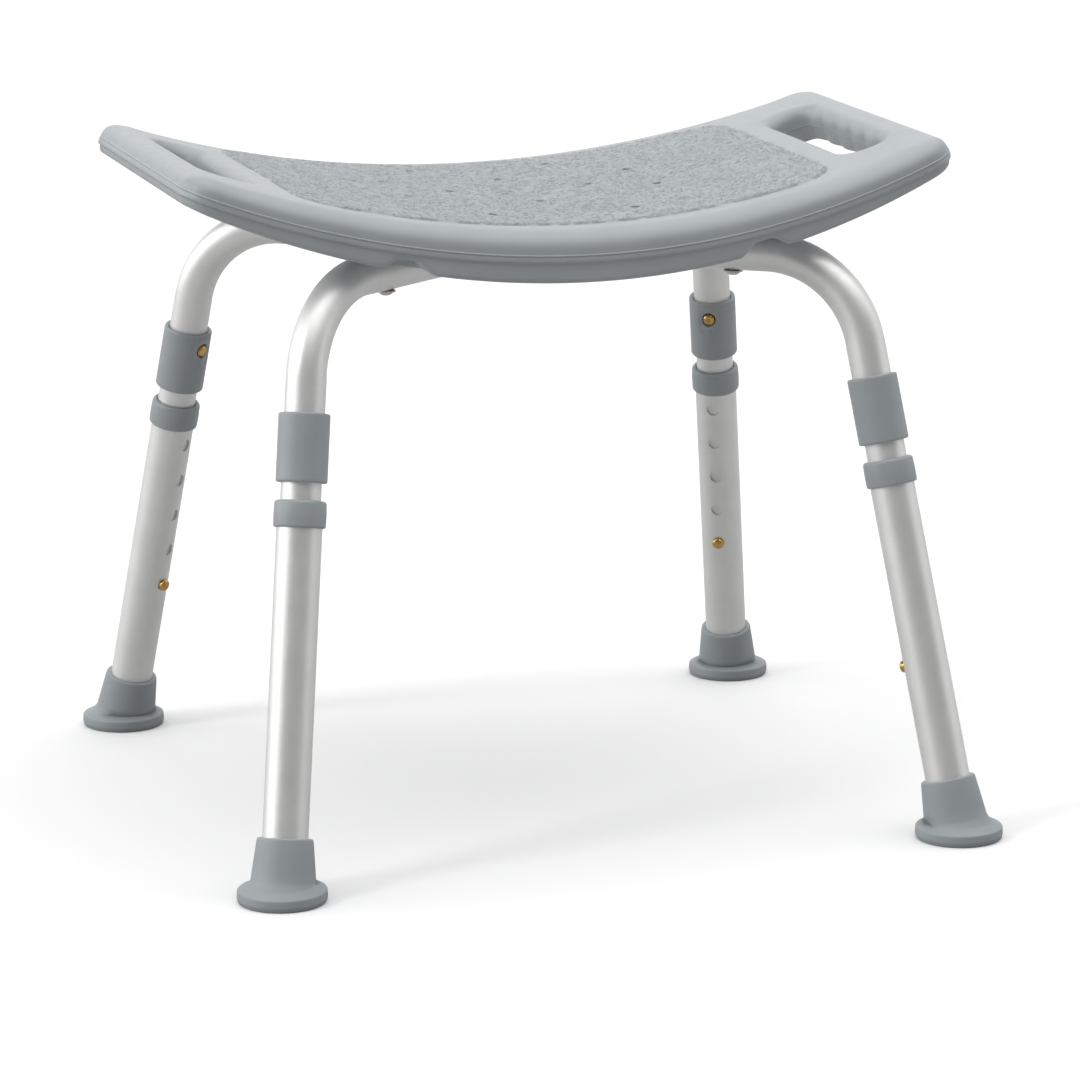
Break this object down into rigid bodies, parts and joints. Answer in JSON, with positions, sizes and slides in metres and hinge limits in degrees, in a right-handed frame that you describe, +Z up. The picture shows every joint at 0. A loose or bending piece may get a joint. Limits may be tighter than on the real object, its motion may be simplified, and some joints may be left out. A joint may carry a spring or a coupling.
{
  "type": "shower chair",
  "caption": "Backless shower chair: curved plastic seat with handle slots and drain holes on crossing bent tubes, with splayed height-adjustable legs and rubber feet.",
  "frame": {"origin": "on the floor, under the middle of the seat", "axes": "+X along the seat's length, +Y to the back, +Z up"},
  "size_m": [0.508, 0.5024, 0.4428],
  "materials": {
    "seat_plastic": "moulded matte with a raised pebble panel",
    "grey_plastic": "smooth moulded",
    "rubber": "matte",
    "aluminium": "satin anodised",
    "brass": "polished",
    "screw_metal": "dull copper-brown",
    "steel": "zinc plated"
  },
  "bodies": {
    "frame": {"seat_shell": "seat_plastic", "seat_inserts": "brass", "seat_screws": "screw_metal", "frame_tube_a": "aluminium", "frame_tube_b": "aluminium", "cross_bolt": "steel", "cross_nut": "steel", "collar_fl": "grey_plastic", "collar_fr": "grey_plastic", "collar_bl": "grey_plastic", "collar_br": "grey_plastic"},
    "leg_fl": {"inner_leg_fl": "aluminium", "collar_spring_fl": "steel", "height_spring_fl": "steel"},
    "extension_fl": {"outer_leg_fl": "aluminium", "leg_ring_fl": "grey_plastic", "foot_fl": "rubber", "foot_washer_fl": "steel"},
    "collar_snap_fl": {"collar_button_fl": "brass"},
    "height_snap_fl": {"height_button_fl": "brass"},
    "leg_fr": {"inner_leg_fr": "aluminium", "collar_spring_fr": "steel", "height_spring_fr": "steel"},
    "extension_fr": {"outer_leg_fr": "aluminium", "leg_ring_fr": "grey_plastic", "foot_fr": "rubber", "foot_washer_fr": "steel"},
    "collar_snap_fr": {"collar_button_fr": "brass"},
    "height_snap_fr": {"height_button_fr": "brass"},
    "leg_bl": {"inner_leg_bl": "aluminium", "collar_spring_bl": "steel", "height_spring_bl": "steel"},
    "extension_bl": {"outer_leg_bl": "aluminium", "leg_ring_bl": "grey_plastic", "foot_bl": "rubber", "foot_washer_bl": "steel"},
    "collar_snap_bl": {"collar_button_bl": "brass"},
    "height_snap_bl": {"height_button_bl": "brass"},
    "leg_br": {"inner_leg_br": "aluminium", "collar_spring_br": "steel", "height_spring_br": "steel"},
    "extension_br": {"outer_leg_br": "aluminium", "leg_ring_br": "grey_plastic", "foot_br": "rubber", "foot_washer_br": "steel"},
    "collar_snap_br": {"collar_button_br": "brass"},
    "height_snap_br": {"height_button_br": "brass"}
  },
  "joints": [
    {"name": "pull_leg_fl", "type": "slide", "parent": "frame", "child": "leg_fl", "axis": [-0.1218, -0.2261, -0.9665], "range_m": [0, 0.05], "deforming": ["collar_button_fl"]},
    {"name": "height_fl", "type": "slide", "parent": "leg_fl", "child": "extension_fl", "axis": [-0.1218, -0.2261, -0.9665], "range_m": [0, 0.10513], "deforming": ["height_button_fl"]},
    {"name": "press_collar_button_fl", "type": "slide", "parent": "leg_fl", "child": "collar_snap_fl", "axis": [-0.6272, -0.7371, 0.2515], "range_m": [0, 0.005], "stiffness_N_per_m": 800, "deforming": ["collar_spring_fl"]},
    {"name": "press_height_button_fl", "type": "slide", "parent": "leg_fl", "child": "height_snap_fl", "axis": [-0.6272, -0.7371, 0.2515], "range_m": [0, 0.005], "stiffness_N_per_m": 800, "deforming": ["height_spring_fl"]},
    {"name": "pull_leg_fr", "type": "slide", "parent": "frame", "child": "leg_fr", "axis": [0.1218, -0.2261, -0.9665], "range_m": [0, 0.05], "deforming": ["collar_button_fr"]},
    {"name": "height_fr", "type": "slide", "parent": "leg_fr", "child": "extension_fr", "axis": [0.1218, -0.2261, -0.9665], "range_m": [0, 0.10513], "deforming": ["height_button_fr"]},
    {"name": "press_collar_button_fr", "type": "slide", "parent": "leg_fr", "child": "collar_snap_fr", "axis": [0.6919, -0.6788, 0.246], "range_m": [0, 0.005], "stiffness_N_per_m": 800, "deforming": ["collar_spring_fr"]},
    {"name": "press_height_button_fr", "type": "slide", "parent": "leg_fr", "child": "height_snap_fr", "axis": [0.6919, -0.6788, 0.246], "range_m": [0, 0.005], "stiffness_N_per_m": 800, "deforming": ["height_spring_fr"]},
    {"name": "pull_leg_bl", "type": "slide", "parent": "frame", "child": "leg_bl", "axis": [-0.1218, 0.2261, -0.9665], "range_m": [0, 0.05], "deforming": ["collar_button_bl"]},
    {"name": "height_bl", "type": "slide", "parent": "leg_bl", "child": "extension_bl", "axis": [-0.1218, 0.2261, -0.9665], "range_m": [0, 0.10513], "deforming": ["height_button_bl"]},
    {"name": "press_collar_button_bl", "type": "slide", "parent": "leg_bl", "child": "collar_snap_bl", "axis": [-0.572, 0.7797, 0.2545], "range_m": [0, 0.005], "stiffness_N_per_m": 800, "deforming": ["collar_spring_bl"]},
    {"name": "press_height_button_bl", "type": "slide", "parent": "leg_bl", "child": "height_snap_bl", "axis": [-0.572, 0.7797, 0.2545], "range_m": [0, 0.005], "stiffness_N_per_m": 800, "deforming": ["height_spring_bl"]},
    {"name": "pull_leg_br", "type": "slide", "parent": "frame", "child": "leg_br", "axis": [0.1218, 0.2261, -0.9665], "range_m": [0, 0.05], "deforming": ["collar_button_br"]},
    {"name": "height_br", "type": "slide", "parent": "leg_br", "child": "extension_br", "axis": [0.1218, 0.2261, -0.9665], "range_m": [0, 0.10513], "deforming": ["height_button_br"]},
    {"name": "press_collar_button_br", "type": "slide", "parent": "leg_br", "child": "collar_snap_br", "axis": [0.4841, 0.8365, 0.2567], "range_m": [0, 0.005], "stiffness_N_per_m": 800, "deforming": ["collar_spring_br"]},
    {"name": "press_height_button_br", "type": "slide", "parent": "leg_br", "child": "height_snap_br", "axis": [0.4841, 0.8365, 0.2567], "range_m": [0, 0.005], "stiffness_N_per_m": 800, "deforming": ["height_spring_br"]}
  ]
}
